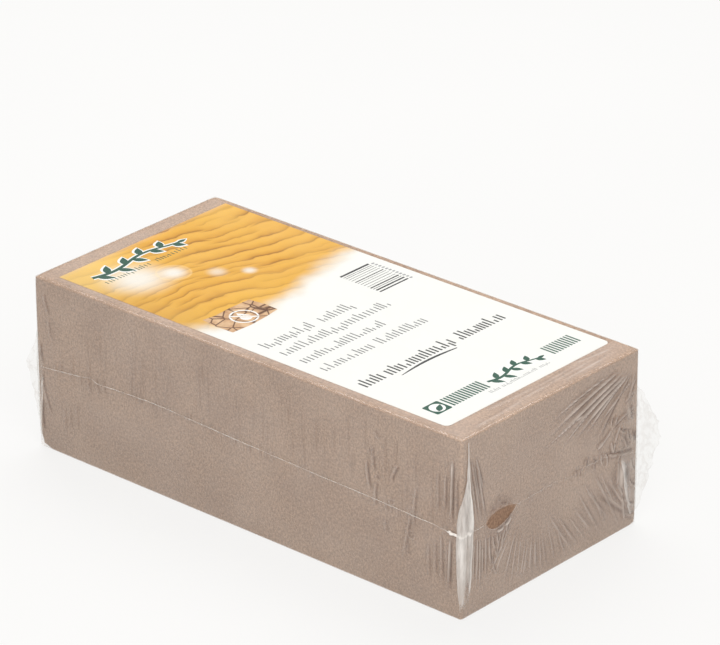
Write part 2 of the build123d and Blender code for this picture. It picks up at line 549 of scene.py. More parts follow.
def label_artwork():
    art = Artwork()
    sprig(art, -96.2, -40, 10, "green", "halo", 9.6)
    art.plain_print(-90.6, -87.4, -39.5, [6, 4], 4.4, "green", stroke=0.5)

    # Badge: a patch of cracked mud, with a crossed-out drop of water
    badge = [(-17.2, -40.2), (-16.6, -30), (-17.4, -19.5), (-18.6, -12), (-26, -11.7),
             (-33.6, -12.8), (-34, -24), (-33.4, -33), (-34.4, -39.6), (-27, -40.6)]
    art.polygon(badge, "mud")
    drop_x, drop_y = -24.2, -26
    art.disc(drop_x, drop_y, 6.2, "halo")
    art.disc(drop_x, drop_y, 5.4, "mud")
    angles = np.radians(np.linspace(-125, 125, 15))
    drop = [(drop_x + 1.1 + 2.6 * math.cos(a), drop_y + 2.6 * math.sin(a)) for a in angles]
    art.polygon(drop + [(drop_x - 4.4, drop_y)], "halo")
    slash = np.linspace((drop_x - 4.4, drop_y - 4), (drop_x + 4.4, drop_y + 4), 2)
    art.ribbon(slash, [0.85, 0.85], "mud")
    art.ribbon(slash, [0.45, 0.45], "halo")

    # Striped code, its stripes along Y, with a row of dots beside it
    for x, width in (
        (-20.6, 1.2), (-18.5, 0.35), (-17.2, 0.35), (-15.6, 0.3), (-14, 0.3), (-12.2, 0.6), (-10.6, 0.3),
        (-9, 0.3), (-7.3, 0.35), (-5.4, 0.3), (-3.9, 0.8), (-2.2, 0.4), (-0.9, 1), (1.2, 0.9),
    ):
        art.block(x, 28, x + width, 45.6, "black")
    for k in range(12):
        art.block(-19.6 + 1.9 * k, 46.4, -18.5 + 1.9 * k, 48, "pale_grey", rounding=0.3)

    # Four lines of plain print, one bold line with an underline, and the row at the foot
    lines = ((-2.5, 3.8, [6, 4]), (7.6, 13.6, [13]), (18.4, 24.2, [10]), (29.2, 35, [6, 6]))
    for top, base, words in lines:
        art.plain_print(top, base, -41.8, words, 4.95, "grey", stroke=0.62)
    art.plain_print(49.5, 56.6, -42.5, [3, 10, 7], 4, "black", stroke=0.95)
    sweep = [(59.6 - 1.3 * math.sin(math.pi * t), -25.3 + 33.6 * t) for t in np.linspace(0, 1, 12)]
    art.ribbon(sweep, 0.15 + 0.5 * np.sin(np.pi * np.linspace(0.02, 0.9, 12)), "black")

    art.block(84.5, -42.5, 93, -33.6, "green", rounding=0.6)
    art.disc(88.75, -38.05, 3.4, "halo")
    art.leaf(91.3, -39.9, 38, 6.2, 2.7, "green")
    for first, last, width in ((-32.2, -10.2, 1), (29.4, 46, 0.9)):
        for y in np.arange(first, last, 1.75):
            art.block(84.8, y, 92.6, y + width, "green")
    sprig(art, 88.6, -7.6, 23, "green", "halo", 7.4)
    art.plain_print(94.4, 96.4, -14, [3, 11, 3], 1.95, "pale_grey", stroke=0.45)
    return art


# The artwork was drawn a little larger than it came out on the paper: its scale and shift along X and Y
ART_SCALE = (0.994, 0.987)
ART_SHIFT = (0.9, -0.9)
LABEL_CORNER_RADIUS = 2.5


def on_paper(point):
    return tuple(scale * p + shift for scale, p, shift in zip(ART_SCALE, point, ART_SHIFT))


def label_outline():
    """The label's edge: square corners at -X, rounded ones at +X."""
    radius = LABEL_CORNER_RADIUS
    x0, y0, x1, y1 = label_low[0], label_low[1], label_high[0], label_high[1]
    turn = np.radians(np.linspace(0, 90, 7))
    near = [(x1 - radius + radius * math.sin(a), y0 + radius - radius * math.cos(a)) for a in turn]
    far = [(x1 - radius + radius * math.cos(a), y1 - radius + radius * math.sin(a)) for a in turn]
    return [(x0, y0)] + near + far + [(x0, y1)]


def build_label():
    """The paper, cut along every edge of its artwork, so that each ink has its own faces."""
    art = label_artwork()
    loops = [label_outline()] + [[on_paper(point) for point in points] for points, _ in art.shapes]
    ink_names = ["paper"] + [ink for _, ink in art.shapes]
    flat, faces = [], []
    for loop in loops:
        faces.append(list(range(len(flat), len(flat) + len(loop))))
        flat.extend(Vector(p) for p in loop)
    top_points, _, triangles, _, _, sources = delaunay_2d_cdt(flat, [], faces, 1, 1e-5)

    # The rim is the set of edges used by one triangle only.
    count = {}
    for triangle in triangles:
        for a, b in zip(triangle, triangle[1:] + triangle[:1]):
            count[(a, b)] = count.get((a, b), 0) + 1
    rim = {a: b for a, b in count if (b, a) not in count}
    start = next(iter(rim))
    loop = [start]
    while rim[loop[-1]] != start:
        loop.append(rim[loop[-1]])

    # Its faces: the top, the rim and the underside, which are plain paper
    number = len(top_points)
    points = [(p[0], p[1], label_high[2]) for p in top_points]
    points += [(top_points[i][0], top_points[i][1], label_low[2]) for i in loop]
    under = {vertex: number + k for k, vertex in enumerate(loop)}
    all_faces = [list(t) for t in triangles]
    names = list(inks)
    slots = [names.index(ink_names[max(source)]) for source in sources]
    for a, b in zip(loop, loop[1:] + loop[:1]):
        all_faces.append([b, a, under[a], under[b]])
        slots.append(0)
    all_faces.append([under[v] for v in reversed(loop)])
    slots.append(0)
    make_piece("label_sheet", points, all_faces, list(inks.values()), ["paper_label"],
               face_materials=slots, smooth=False)


build_foam()
build_label()


# ------------ film: where it runs

# A place on the film's walls is how far round the brick it is, in millimetres from the middle of the
# near upright edge (+X, -Y), and its height. Going round runs first along the +X end, towards +Y, then
# along the back, the -X end and the front, which therefore has places below 0.
FILM_GAP = 0.13
# The film is this far over the label, and its underside this far over the floor.
FILM_OVER_LABEL = 0.05
FILM_OVER_FLOOR = 0.04
corner_radius = UPRIGHT_RADIUS + FILM_GAP
edge_rise = LEVEL_RADIUS + FILM_GAP
film_x = foam_high[0] + FILM_GAP
film_y = foam_high[1] + FILM_GAP
film_top = label_high[2] + FILM_OVER_LABEL
film_bottom = FILM_OVER_FLOOR
straight_x = film_x - corner_radius
straight_y = film_y - corner_radius
quarter = math.pi / 2 * corner_radius
WALLS = ["end", "back", "left", "front"]
wall_lengths = [2 * straight_y, 2 * straight_x, 2 * straight_y, 2 * straight_x]
wall_starts = [quarter / 2 + sum(wall_lengths[:k]) + k * quarter for k in range(4)]
girth = sum(wall_lengths) + 4 * quarter


def wrapped(s):
    """A place round the brick as a number from minus half the girth to plus half."""
    return np.mod(np.asarray(s, float) + girth / 2, girth) - girth / 2


def on_wall(wall, place):
    """The place round the brick of a Y on the end or left wall, or of an X on the front or back wall."""
    k = WALLS.index(wall)
    forward = place if wall in ("end", "front") else -place
    return float(wrapped(wall_starts[k] + wall_lengths[k] / 2 + forward))


def around(places):
    """Points and outward normals, in plan, of places round the brick."""
    s = np.mod(np.asarray(places, float), girth)
    turns = np.array([[straight_x, -straight_y], [straight_x, straight_y], [-straight_x, straight_y],
                      [-straight_x, -straight_y]])
    point = np.zeros(s.shape + (2,))
    normal = np.zeros(s.shape + (2,))
    for k in range(4):
        start, length = wall_starts[k], wall_lengths[k]
        heading = math.radians(90 + 90 * k)
        way = np.array([math.cos(heading), math.sin(heading)])
        out = np.array([way[1], -way[0]])
        on = (s >= start) & (s <= start + length)
        point[on] = turns[k] + out * corner_radius + way * (s[on] - start)[:, None]
        normal[on] = out
        turn = (s > start + length) & (s < start + length + quarter)
        if k == 3:
            turn |= s < wall_starts[0]
        angle = heading - math.pi / 2 + np.mod(s[turn] - start - length, girth) / corner_radius
        normal[turn] = np.stack([np.cos(angle), np.sin(angle)], axis=-1)
        point[turn] = turns[(k + 1) % 4] + normal[turn] * corner_radius
    return point, normal


# Height of the seal along the walls. On the back, where the film is folded, it is the fold's height.
SEAM = [
    ("left", -50, 36.2), ("front", -113.9, 35.8), ("front", -108, 36.4), ("front", -97, 37.7),
    ("front", -89.5, 38.6), ("front", -84, 39.7), ("front", -79.5, 38.2), ("front", -72, 38.7),
    ("front", -49.5, 39.9), ("front", 20, 37.8), ("front", 60, 37.2), ("front", 100, 36.3),
    ("end", -53, 35.2), ("end", -39, 35.2), ("end", -20.8, 36.8), ("end", 2, 37.2), ("end", 15, 35.4),
    ("end", 21, 37), ("end", 35, 36.2), ("end", 53, 35),
    ("back", 60, 38.4), ("back", -60, 37.4), ("left", 50, 37.2),
]
seam_places = np.array([on_wall(wall, place) for wall, place, _ in SEAM])
seam_order = np.argsort(seam_places)
seam_levels = np.array([level for _, _, level in SEAM])

# The hole torn in the seal on the +X end: its ends round the brick, and how far it opens up and down
TEAR_START = on_wall("end", -39.4)
TEAR_END = on_wall("end", -21.4)
TEAR_RISE = 3.2
TEAR_DROP = 3.9

# Heights on the front, and the seal's, are listed from the line of the foam's worn foot, this far up.
FOOT = 1.4


def seam_level(s):
    """The seal's height at places round the brick."""
    wavy = 0.35 * (value_noise(np.asarray(s) / 7 + 200, 3.5, 11) - 0.5)
    level = np.interp(wrapped(s), seam_places[seam_order], seam_levels[seam_order], period=girth)
    return level + FOOT + wavy


def tear_opening(s):
    """How far the upper and the lower half of the film draw back from the seal at places round."""
    t = np.clip((wrapped(s) - TEAR_START) / (TEAR_END - TEAR_START), 0, 1)
    # Each outline is highest near its start, and 2 and 3 bring its top to about the full opening.
    rise = TEAR_RISE * 2 * t ** 0.35 * (1 - t) ** 0.75
    drop = TEAR_DROP * 3 * t ** 0.62 * (1 - t) ** 1.05
    return rise, drop


# ------------ film: its creases

# How much milkier than listed every crest is
CREST_CLOUD = 1.2


class Creases:
    """Folds that stand off a stretch of film, each from one place to another."""

    def __init__(self):
        self.folds = []

    def fold(self, start, end, width, height, cloud=0.25, bow=0, narrow=0.45, head=0.15, tail=0.4):
        """A fold of a half width and height. It starts narrow, a share of its width, and rises and dies
        away over its head and tail, shares of its length. Bow is how far it bends to one side, and cloud
        is how milky its crest is."""
        ends = np.array(start, float), np.array(end, float)
        self.folds.append((*ends, width, height, cloud, bow, narrow, head, tail))

    def measure(self, a, b):
        """Height of the film off its bed, how milky it is and how much painted shade it has, at places a, b.
        """
        lift, milky, shade = np.zeros(a.shape), np.zeros(a.shape), np.zeros(a.shape)
        for start, end, width, height, cloud, bow, narrow, head, tail in self.folds:
            margin = 3 * width + abs(bow)
            low, high = np.minimum(start, end) - margin, np.maximum(start, end) + margin
            near = np.flatnonzero((a > low[0]) & (a < high[0]) & (b > low[1]) & (b < high[1]))
            if not len(near):
                continue
            way = end - start
            length = math.hypot(*way)
            da, db = a[near] - start[0], b[near] - start[1]
            t = np.clip((da * way[0] + db * way[1]) / length ** 2, 0, 1)
            across = (da * way[1] - db * way[0]) / length - bow * 4 * t * (1 - t)
            spread = width * (narrow + (1 - narrow) * t)
            ends = smooth_step(t / head) * smooth_step((1 - t) / tail)
            ridge = np.exp(-np.abs(across / spread) ** 1.6) * ends
            # Painted shade: a dark dip runs along each side, deeper on one than on the other.
            dip = bell(across + 1.8 * spread, 1.15 * spread) * ends
            dip = np.maximum(dip, 0.4 * bell(across - 1.9 * spread, 1.2 * spread) * ends)
            shade[near] = np.maximum(shade[near], min(1.7 * height, 1) * dip)
            rise = height * ridge
            lift[near] = np.maximum(lift[near], rise) + 0.25 * np.minimum(lift[near], rise)
            milky[near] = np.maximum(milky[near], CREST_CLOUD * cloud * ridge)
        return lift, milky, shade


def crumple(a, b, seed):
    """Sharp-edged facets from 0 to 1, as in crumpled film, about one to a unit."""
    total = np.zeros(np.shape(a))
    for octave, (turn, size, share) in enumerate(((0.4, 1, 0.5), (1.3, 0.6, 0.3), (2.5, 0.33, 0.2))):
        u = (a * math.cos(turn) + b * math.sin(turn)) / size
        v = (b * math.cos(turn) - a * math.sin(turn)) / size
        total += share * (1 - np.abs(2 * value_noise(u + 90, v + 90, seed + octave) - 1))
    return total


def end(y, z):
    return (on_wall("end", y), z)


def front(x, z):
    return (on_wall("front", x), z + FOOT)


def wall_creases():
    """The folds on the film's four walls. Tables list a fold's start and end as places across and up."""
    folds = Creases()

    # Fan from the far top corner of the +X end
    for y0, z0, y1, z1, width in (
        (34, 73, -3.5, 65, 0.5), (42.5, 73, -4.5, 59.5, 0.8), (45, 71.5, -0.5, 56, 0.9),
        (47, 70, 6, 55, 0.9), (48.3, 69.5, 11.5, 51.5, 0.8), (48.8, 70, 18, 50.5, 0.7),
        (50.5, 66, 26, 51, 0.5), (30, 64, 4, 50.5, 0.4), (22, 62, -8, 54, 0.35),
    ):
        folds.fold(end(y0, z0), end(y1, z1), width, 1.2 * width, cloud=0.46, bow=0.9, narrow=0.6, tail=0.5)

    # Creases below the seal, spreading from the middle of the end. Each runs a random share past its
    # listed start, and a fixed one past its end.
    for y0, z0, y1, z1 in (
        (-23.5, 31.7, -39.8, 9.7), (-24.9, 25.7, -33.9, 12), (-21.8, 27, -28.6, 8),
        (-20.3, 24.9, -24.6, 4.5), (-18.4, 22, -20.4, 6), (-16, 20, -19, 4.2), (-14.1, 18, -17, 4.7),
        (-11.6, 18.4, -12.6, 5.2), (-9.5, 17.3, -9.3, 4.9), (-7, 16.4, -6, 3.8), (-4.9, 17.6, -3, 3.5),
        (-1.6, 19.5, 2.2, 4), (1.2, 21.9, 12.6, 5.1), (3.4, 18.8, 8.4, 4.6), (6, 20, 15.7, 6.1),
        (10.6, 20, 20.4, 6.6), (15.3, 20.8, 25.1, 7.9), (21.4, 29.5, 34.6, 10.9), (24.6, 26, 33.8, 8.2),
        (27.6, 31.6, 41.1, 6.1), (31.4, 31, 41.6, 11.4), (18.4, 25, 29, 7.4), (25.6, 33, 38, 12.6),
    ):
        reach, past_end = rng.uniform(0.1, 0.5), 0.12
        y0, z0 = y0 + (y0 - y1) * reach, z0 + (z0 - z1) * reach
        y1, z1 = y1 + (y1 - y0) * past_end, z1 + (z1 - z0) * past_end
        folds.fold(end(y0, z0), end(y1, z1), rng.uniform(0.5, 0.8), rng.uniform(0.15, 0.38), cloud=0.28,
                   bow=rng.uniform(-0.6, 0.9), head=0.4)

    # Squiggles under the torn hole, small marks above it, and its pale rim
    for y0, z0, y1, z1, cloud in (
        (-37.6, 32, -36.4, 16, 0.22), (-35.5, 30, -34, 23.6, 0.25), (-34.3, 23.6, -31.6, 19.6, 0.25),
        (-33, 30, -31.4, 24.5, 0.25), (-30.6, 29.5, -33.4, 18, 0.22), (-28.2, 30.5, -30.4, 21, 0.25),
        (-36, 22, -33.4, 12, 0.2), (-32.6, 46.4, -31.6, 43, 0.1), (-31, 42, -26.6, 41.2, 0.1),
        (-36.6, 42, -34.4, 40, 0.12), (-33.4, 31.2, -28.6, 31.6, 0.55), (-28.6, 31.6, -24.4, 34.6, 0.6),
        (-26, 33, -27.2, 28, 0.35),
    ):
        height = 0.6 if z0 < seam_height else 0.3
        folds.fold(end(y0, z0), end(y1, z1), 0.5, height, cloud=cloud, bow=0.7, narrow=0.8, tail=0.3)

    # Drawn lines beside the near corner, on the end and on the front
    for y0, z0, y1, z1 in (
        (-48.8, 68.5, -42.6, 37.2), (-45.1, 63.3, -39.7, 36.6), (-46.3, 68.5, -41.3, 51.2),
        (-48.4, 59.3, -44.9, 38.6), (-50.2, 70, -46.6, 44), (-47.2, 66, -43.4, 46),
        (-41.8, 28, -42.1, 14.4), (-38.1, 27.3, -37.3, 17.9), (-44.8, 34.8, -45.4, 10.3),
        (-43.2, 33, -43.6, 8), (-40, 33, -39.8, 12), (-47, 33, -47.6, 12),
    ):
        folds.fold(end(y0, z0), end(y1, z1), 0.5, 0.6, cloud=0.34, narrow=0.6)
    for x0, z0, x1, z1, height, cloud in (
        (110.4, 68, 109.4, 36, 0.8, 0.45), (109.4, 34, 108.2, 8, 0.7, 0.4),
        (112.2, 60, 112, 40, 0.3, 0.2), (103, 60, 102.8, 40, 0.3, 0.15),
        (106.8, 60, 106.2, 42, 0.4, 0.25), (104.6, 34, 104.9, 10, 0.35, 0.2),
        (107.6, 30, 107.4, 8, 0.35, 0.18), (101.6, 30, 101.5, 12, 0.3, 0.16),
        (98, 28, 98.4, 10, 0.25, 0.12),
    ):
        folds.fold(front(x0, z0), front(x1, z1), 0.6, height, cloud=cloud, narrow=0.6)

    # Crumpled film by the far corner of the end
    for y0, z0, y1, z1, bow, height in (
        (51.5, 53.2, 37.4, 48.8, 0.6, 0.9), (37.4, 48.8, 27.7, 42.8, -0.5, 0.9),
        (51.2, 60, 45, 57, 0.4, 0.6), (42.5, 48.4, 39.2, 41.7, 0.3, 0.8), (39.2, 41.7, 38, 37.4, 0, 0.8),
        (40.4, 53.3, 38.6, 49.8, 0, 0.8), (37.4, 53.6, 36.4, 50.4, 0.2, 0.6),
        (31.8, 45, 28.2, 42.4, 0.4, 0.8), (30.4, 40.5, 31, 35.3, 0.5, 0.9),
        (33, 39.5, 34.2, 33.3, -0.5, 0.9), (37, 43, 38.2, 37.4, 0.3, 0.8),
        (39.4, 36.4, 51.6, 33.6, 0.5, 0.9), (42, 47, 47, 44, 1.2, 0.7), (46.8, 45, 49.6, 38, 0.8, 0.8),
        (44, 42, 46.2, 36.6, -0.7, 0.7), (35.4, 38, 41, 36, 0.6, 0.7), (22.5, 42, 21.2, 37.6, 1, 0.6),
        (24.6, 40, 25.6, 35.4, -0.9, 0.6), (27.4, 39, 26.4, 34.6, 0.9, 0.6),
        (14.6, 39.5, 15.4, 36.8, 0.8, 0.5), (18.2, 38.6, 17.4, 35, 0.9, 0.5), (52, 66, 47, 58, 0.4, 0.6),
        (50.6, 50, 46.6, 49, 1.5, 0.7), (41.1, 33.1, 40.6, 22, -0.6, 0.9),
        (40.6, 22, 44.6, 15.6, -0.6, 0.8), (44.6, 29.9, 47.3, 19, 1, 0.8),
        (44.6, 15.6, 46.2, 4.6, 0.3, 0.9), (45.7, 14.6, 52.3, 9, 0.9, 0.8),
        (45.6, 8.4, 52.6, 4.6, 0.7, 0.7), (49.6, 31, 52.4, 24, 0.9, 0.6), (48.6, 22, 52.8, 17, 0.8, 0.7),
        (43, 36, 41.4, 33, 0, 0.6),
    ):
        cloud = 0.12 if y0 < 28 else 0.34
        folds.fold(end(y0, z0), end(y1, z1), 0.55, height, cloud=cloud, bow=bow, narrow=0.85, tail=0.2)
    for start, stop, width, height, cloud, bow in (
        (end(47.6, 56), end(49.4, 47), 1, 0.6, 0.35, 0.8),
        (end(48.4, 42), end(50.4, 36), 1.3, 0.6, 0.38, -0.6),
        (end(42.8, 33), end(43.6, 16.5), 1.9, 0.7, 0.42, -0.4),
    ):
        folds.fold(start, stop, width, height, cloud=cloud, bow=bow, narrow=1, head=0.4)

    # Marks on the front: wrinkles near its left edge, small rings towards the right
    for x0, z0, x1, z1, height in (
        (-109.8, 70, -106.9, 59.9, 0.45), (-107.4, 60, -106.2, 49, 0.3), (-112.8, 47, -112, 37, 0.6),
        (-112.4, 34, -110.4, 21, 0.5), (-110.8, 25, -107.6, 15, 0.45), (-112.8, 22, -112.6, 6, 0.7),
        (-96.4, 23, -96.2, 11, 0.22), (-92.4, 26, -92, 12, 0.2), (-99.5, 22, -99.2, 10, 0.2),
        (-86, 42, -84, 32, 0.3), (-81, 41, -79, 33, 0.35), (-76.5, 41, -75.5, 34, 0.3),
        (66.4, 53, 68.4, 39, 0.6), (69.6, 60, 70.4, 48, 0.5), (71.6, 45, 70.8, 33, 0.5),
        (83, 56, 78.8, 47, 0.5), (89.3, 36.8, 85.5, 15.5, 0.5), (92, 50, 90.4, 30, 0.4),
        (70.6, 66, 74.2, 63.4, 0.4), (76, 30, 76.8, 24, 0.3), (88, 24, 87.6, 18, 0.3),
    ):
        folds.fold(front(x0, z0), front(x1, z1), 0.6, 0.7 * height, cloud=0.45 * height, bow=0.5, narrow=0.8,
                   tail=0.3)
    for x, z, radius in ((69.3, 56.8, 1.6), (89.5, 27.6, 1.8), (72.6, 47, 1.2), (79.5, 38.5, 1.3)):
        for turn in (20, 140, 260):
            a, b = math.radians(turn), math.radians(turn + 115)
            start = front(x + radius * math.cos(a), z + radius * math.sin(a))
            stop = front(x + radius * math.cos(b), z + radius * math.sin(b))
            folds.fold(start, stop, 0.4, 0.35, cloud=0.2, bow=0.45 * radius, narrow=1, head=0.2, tail=0.2)

    # The other corners: creases gathered into the top and the foot of each. By the near left corner they
    # are on the left wall only.
    near_left = on_wall("left", -film_y)
    highest, lowest = 70, 5
    for corner_s in (on_wall("back", film_x), on_wall("left", film_y), near_left):
        for k in range(9):
            side = 1 if k % 2 and corner_s != near_left else -1
            reach = rng.uniform(5, 34)
            top = rng.random() < 0.5
            start = (corner_s + side * rng.uniform(2, 4), highest if top else lowest)
            stop_z = highest - rng.uniform(14, 30) if top else lowest + rng.uniform(10, 26)
            stop = (corner_s + side * reach, stop_z)
            folds.fold(start, stop, rng.uniform(0.6, 1.1), rng.uniform(0.25, 0.6), bow=rng.uniform(-1, 1))

    # The fold of the web, along the back
    for start_x in (106, 54, -2, -56):
        runs = [on_wall("back", x) for x in (start_x, max(start_x - 58, -108))]
        start, stop = [(s, float(seam_level(s))) for s in runs]
        folds.fold(start, stop, 0.5, 0.3, cloud=0.3, narrow=1, head=0.08, tail=0.08)

    # Short puckers across the seal all round, close together in places
    for _ in range(230):
        s = rng.uniform(-girth / 2 + 2, girth / 2 - 2)
        if TEAR_START - 1 < s < TEAR_END + 1:
            continue
        if value_noise(s / 13 + 60, 0.5, 5) < 0.35:
            continue
        level = float(seam_level(s))
        up, down = rng.uniform(1, 4.5), rng.uniform(1, 4.5)
        lean = rng.uniform(-0.6, 0.6)
        folds.fold((s + lean, level + up), (s - lean, level - down), 0.35, rng.uniform(0.06, 0.24),
                   cloud=0.12, narrow=1, head=0.3, tail=0.3)
    # Long faint upright lines on the front, drawn down from the top edge
    for _ in range(90):
        x = 112 - 224 * rng.random() ** 1.5
        z = rng.uniform(48, 72)
        folds.fold(front(x, z), front(x + rng.uniform(-0.6, 0.6), z - rng.uniform(8, 26)), 0.4,
                   rng.uniform(0.05, 0.16), cloud=0.03, narrow=0.8)
    return folds


def panel_creases():
    """Low folds on the top, along the strip between the label and the +X end, and round the label."""
    folds = Creases()
    for x0, y0, x1, y1 in (
        (104.6, -30, 106, 6), (108.8, -16, 107, 40), (111, -44, 109.4, -8),
        (106.6, -2, 105.2, 30), (110.6, 10, 109.2, 48), (104.2, 26, 106.8, 50),
    ):
        folds.fold((x0, y0), (x1, y1), 0.8, 0.16, cloud=0.14, bow=0.5, narrow=0.8)
    for k in range(14):
        x = -108 + 16.2 * k + rng.uniform(-4, 4)
        folds.fold((x, -51.8), (x + rng.uniform(8, 16), -51.2 + rng.uniform(0, 1.4)), 0.5, 0.14, cloud=0.04)
    return folds


# ------------ film: its pieces

def column_places():
    """Places round the brick for the film's columns: closer together where its folds are fine."""
    bends = [start - quarter / 2 for start in wall_starts]
    finest, fine, coarse = 0.4, 0.5, 1
    places, s = [], 0
    while s < girth:
        places.append(s)
        at_bend = min(abs((s - bend + girth / 2) % girth - girth / 2) for bend in bends) < 4
        if s < bends[1] + 3 or s > girth - 48:
            s += finest
        elif s > bends[3] or at_bend:
            s += fine
        else:
            s += coarse
    return np.array(places)


# How milky the film is where it isn't creased
WALL_CLOUD = 0.11

# Places along X and Y of the points that shape the film over the top
PANEL_X = np.concatenate([np.arange(-111, 102, 4), np.arange(102.5, 112.6, 0.55)])
PANEL_Y = np.concatenate([np.arange(-51.6, -49, 0.6), np.arange(-48, 51.6, 1.2)])


def flat_panel(border, level, creases, upper):
    """Points and triangles that fill a level border: the film over the brick's top or under its foot."""
    inner = [(x, y) for x in PANEL_X for y in PANEL_Y] if upper else []
    flat = [Vector((float(x), float(y))) for x, y in border] + [Vector(p) for p in inner]
    filled = delaunay_2d_cdt(flat, [], [list(range(len(border)))], 1, 1e-6)
    spots = np.array([(p[0], p[1]) for p in filled[0]])
    lift, milky, shade = creases.measure(spots[:, 0], spots[:, 1])
    # The film is milky beside the label and clear where it lies tight on it.
    past = np.maximum(np.maximum(label_low[0] - spots[:, 0], spots[:, 0] - label_high[0]),
                      np.maximum(label_low[1] - spots[:, 1], spots[:, 1] - label_high[1]))
    milky += 1.7 * WALL_CLOUD * smooth_step(past + 0.5)
    from_edge = np.minimum(border[:, 0].max() - np.abs(spots[:, 0]), border[:, 1].max() - np.abs(spots[:, 1]))
    lift *= smooth_step(from_edge / 1.5)
    points = np.column_stack([spots, np.full(len(spots), level) + lift])
    return points, [list(t) for t in filled[2]], milky, shade


def mark_film(piece, cloud, shade, calm):
    """Stores how milky and how dull the film is, and how much painted shade it has, at each of its points,
    for its material.
    """
    for name, values in (("cloud", cloud), ("shade", shade), ("calm", calm)):
        attribute = piece.data.attributes.new(name, "FLOAT", "POINT")
        attribute.data.foreach_set("value", np.clip(values, 0, 1))


def build_film(half, creases, panel):
    """One half of the film: its walls from the seal to the rounded level edge, and its flat panel."""
    places = column_places()
    count = len(places)
    upper = half == "upper"
    rise, drop = tear_opening(places)
    seam = seam_level(places)
    near_edge = seam + rise if upper else seam - drop
    far_edge = np.full(count, film_top - edge_rise if upper else film_bottom + edge_rise)
    plan, normal = around(places)
    rows, clouds, shades, calms = [], [], [], []
    s_here = wrapped(places)
    torn = np.clip((rise + drop) / 3, 0, 1)
    pale = 0.06
    if not upper:
        pale = 0.1 + 0.5 * smooth_step((s_here - TEAR_START) / (TEAR_END - TEAR_START) * 2 - 0.7)
    for t in np.linspace(0, 1, 62) ** (1.15 if upper else 1):
        z = near_edge + (far_edge - near_edge) * t
        lift, milky, shade = creases.measure(s_here, z)
        lift *= smooth_step(np.abs(far_edge - z) / 3)
        milky = milky + WALL_CLOUD
        # The torn edge curls out and is pale.
        curl = 0.55 * np.exp(-np.abs(z - near_edge) / 0.5) * torn
        milky += pale * np.exp(-np.abs(z - near_edge) / 0.6) * torn
        rows.append(np.column_stack([plan + normal * (lift + curl)[:, None], z]))
        clouds.append(milky)
        shades.append(shade)
        calms.append(np.maximum(0.9 * smooth_step((milky - WALL_CLOUD) / 0.25), 0.7 * shade))
    direction = 1 if upper else -1
    for angle in np.radians(np.linspace(0, 90, 7)[1:]):
        inset = corner_radius * (1 - math.cos(angle)) * 0.985
        z = far_edge + direction * edge_rise * math.sin(angle)
        rows.append(np.column_stack([plan - normal * inset, z]))
        clouds.append(np.full(count, WALL_CLOUD))
        shades.append(np.zeros(count))
        calms.append(0.45 + 0.5 * value_noise(places / 4 + 300, 2.5, 17))
    wall = np.concatenate(rows)
    faces = grid_faces(len(rows), count, closed=True)
    if not upper:
        faces = [face[::-1] for face in faces]

    border, level = rows[-1][:, :2], rows[-1][0, 2]
    panel_points, triangles, panel_cloud, panel_shade = flat_panel(border, level, panel, upper)
    # The border's points are the wall's last row; the rest are new.
    first = len(wall)
    lookup = [first - count + i if i < count else first + i - count for i in range(len(panel_points))]
    for a, b, c in triangles:
        corner = [lookup[a], lookup[b], lookup[c]]
        faces.append(corner if upper else corner[::-1])
    points = np.concatenate([wall, panel_points[count:]])
    piece = make_piece(f"film_{half}_sheet", points, faces, [film], ["film_" + half])
    clouds.append(panel_cloud[count:])
    shades.append(panel_shade[count:])
    calms.append(np.full(len(panel_points) - count, 0.5))
    mark_film(piece, np.concatenate(clouds), np.concatenate(shades), np.concatenate(calms))


wall_folds = wall_creases()
build_film("upper", wall_folds, panel_creases())
build_film("lower", wall_folds, Creases())


# The seal's knot: its place round the brick and how far it reaches
KNOT_PLACE = -3.7
KNOT_REACH = 2.7


def build_seal():
    """The weld that joins the two halves on the front and both ends: a thin bead, thick at the knot by the
    near corner and missing where the film is torn."""
    sides, step = 8, 0.5
    runs = [np.arange(on_wall("left", 50), TEAR_START - 0.4, step),
            np.arange(TEAR_END + 0.3, on_wall("end", 52), step)]
    points, faces, clouds = [], [], []
    for run in runs:
        plan, normal = around(run)
        level = seam_level(run)
        lift = wall_folds.measure(wrapped(run), level)[0]
        knot = np.exp(-np.abs((run - KNOT_PLACE) / KNOT_REACH) ** 3)
        lump = value_noise(run / 0.7 + 400, 1.5, 3)
        broken = smooth_step((value_noise(run / 5 + 400, 0.5, 4) - 0.25) / 0.4)
        flat = 1 - 0.8 * (run > TEAR_END)
        radius = 0.05 + 0.04 * (run < TEAR_START) + 0.08 * broken * flat + knot * (0.25 + 0.65 * lump)
        radius[[0, -1]] = 0.03
        rise = knot * 1.6 * (value_noise(run / 1.1 + 400, 7.5, 6) - 0.5)
        first = len(points)
        rings = []
        for angle in (2 * math.pi * k / sides for k in range(sides)):
            out = lift + 0.1 + radius * 0.6 + radius * math.cos(angle)
            place = plan + normal * out[:, None]
            rings.append(np.column_stack([place, level + rise + radius * math.sin(angle)]))
        points.extend(np.stack(rings, axis=1).reshape(-1, 3))
        clouds.append(np.repeat(0.9 * knot, sides))
        faces.extend(grid_faces(len(run), sides, first=first, closed=True))
        faces.append(list(range(first, first + sides)))
        last = first + (len(run) - 1) * sides
        faces.append(list(range(last + sides - 1, last - 1, -1)))
    piece = make_piece("seal_weld", points, faces, [film_weld], ["seal_bead"])
    cloud = np.concatenate(clouds)
    mark_film(piece, cloud, np.zeros(cloud.size), np.full(cloud.size, 0.5))


# An ear's tip stays this far inside its CAD solid, and its crumples sway this far to either side.
EAR_INSET = 0.8
EAR_SWAY = 5


def ear_spread(z, low, high, middle, sharpness):
    """How far an ear stands out at a height, from 0 at its ends to 1 at the seal."""
    rise = np.where(z < middle, (z - low) / (middle - low), (high - z) / (high - middle))
    return np.clip(rise, 0, 1) ** sharpness


